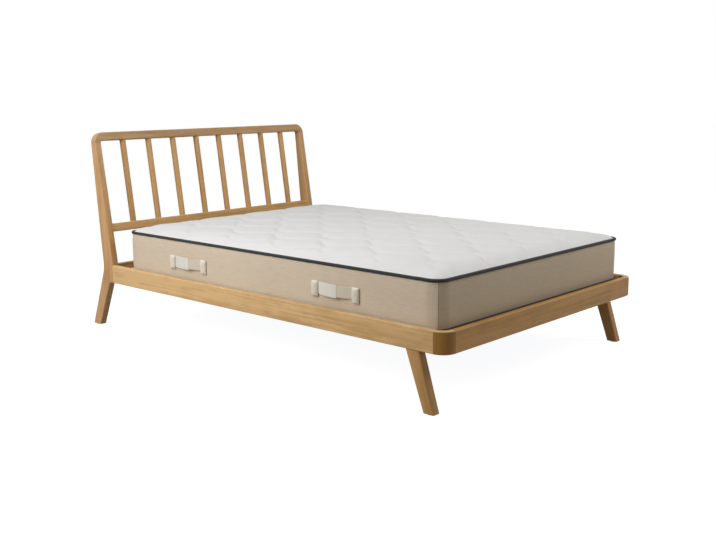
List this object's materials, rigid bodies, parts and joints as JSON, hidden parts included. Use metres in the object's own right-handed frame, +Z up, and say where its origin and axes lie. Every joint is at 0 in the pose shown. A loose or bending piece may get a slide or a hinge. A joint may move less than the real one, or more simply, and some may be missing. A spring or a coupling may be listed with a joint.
{
  "type": "wooden bed",
  "caption": "Double bed in light oak with a leaning open spindle headboard, rounded foot corners and raked legs, slatted deck and a lift-out piped mattress with webbing handles.",
  "frame": {"origin": "centre of the bed's outline, on the floor", "axes": "+X across the bed, to the right when seen from the foot end; +Y from the foot to the head; +Z up"},
  "size_m": [1.418, 2.232, 0.9623],
  "materials": {
    "oak": "satin oil",
    "pine": "planed, unfinished",
    "steel": "zinc plated",
    "felt": "pressed felt",
    "foam": "foam",
    "cover": "woven ticking",
    "quilt": "quilted knit",
    "piping": "woven binding",
    "webbing": "flat webbing",
    "patch": "sewn end patch"
  },
  "bodies": {
    "frame": {"barrel_nuts": "steel", "bed_bolts": "steel", "center_beam": "pine", "center_leg_foot": "pine", "center_leg_head": "pine", "center_leg_studs": "steel", "corner_brackets": "steel", "felt_pads": "felt", "foot_corner_left": "oak", "foot_corner_right": "oak", "foot_rail": "oak", "frame_screws": "steel", "front_leg_left": "oak", "front_leg_right": "oak", "head_rail": "oak", "headboard_corner_left": "oak", "headboard_corner_right": "oak", "joint_dowels": "pine", "ledger_foot": "pine", "ledger_head": "pine", "ledger_left": "pine", "ledger_right": "pine", "leg_bolts": "steel", "lower_rail": "oak", "post_left": "oak", "post_right": "oak", "side_rail_left": "oak", "side_rail_right": "oak", "slat_1": "pine", "slat_10": "pine", "slat_11": "pine", "slat_12": "pine", "slat_2": "pine", "slat_3": "pine", "slat_4": "pine", "slat_5": "pine", "slat_6": "pine", "slat_7": "pine", "slat_8": "pine", "slat_9": "pine", "slat_screws": "steel", "spindle_1": "oak", "spindle_2": "oak", "spindle_3": "oak", "spindle_4": "oak", "spindle_5": "oak", "spindle_6": "oak", "spindle_7": "oak", "spindle_8": "oak", "top_rail": "oak"},
    "mattress": {"handle_tabs": "patch", "mattress_border": "cover", "mattress_bottom_panel": "cover", "mattress_core": "foam", "mattress_handles_left": "webbing", "mattress_handles_right": "webbing", "mattress_piping_bottom": "piping", "mattress_piping_top": "piping", "mattress_top_panel": "quilt"}
  },
  "joints": [
    {"name": "mattress_lift", "type": "slide", "parent": "frame", "child": "mattress", "axis": [0, 0, 1], "range_m": [0, 0.4]}
  ]
}
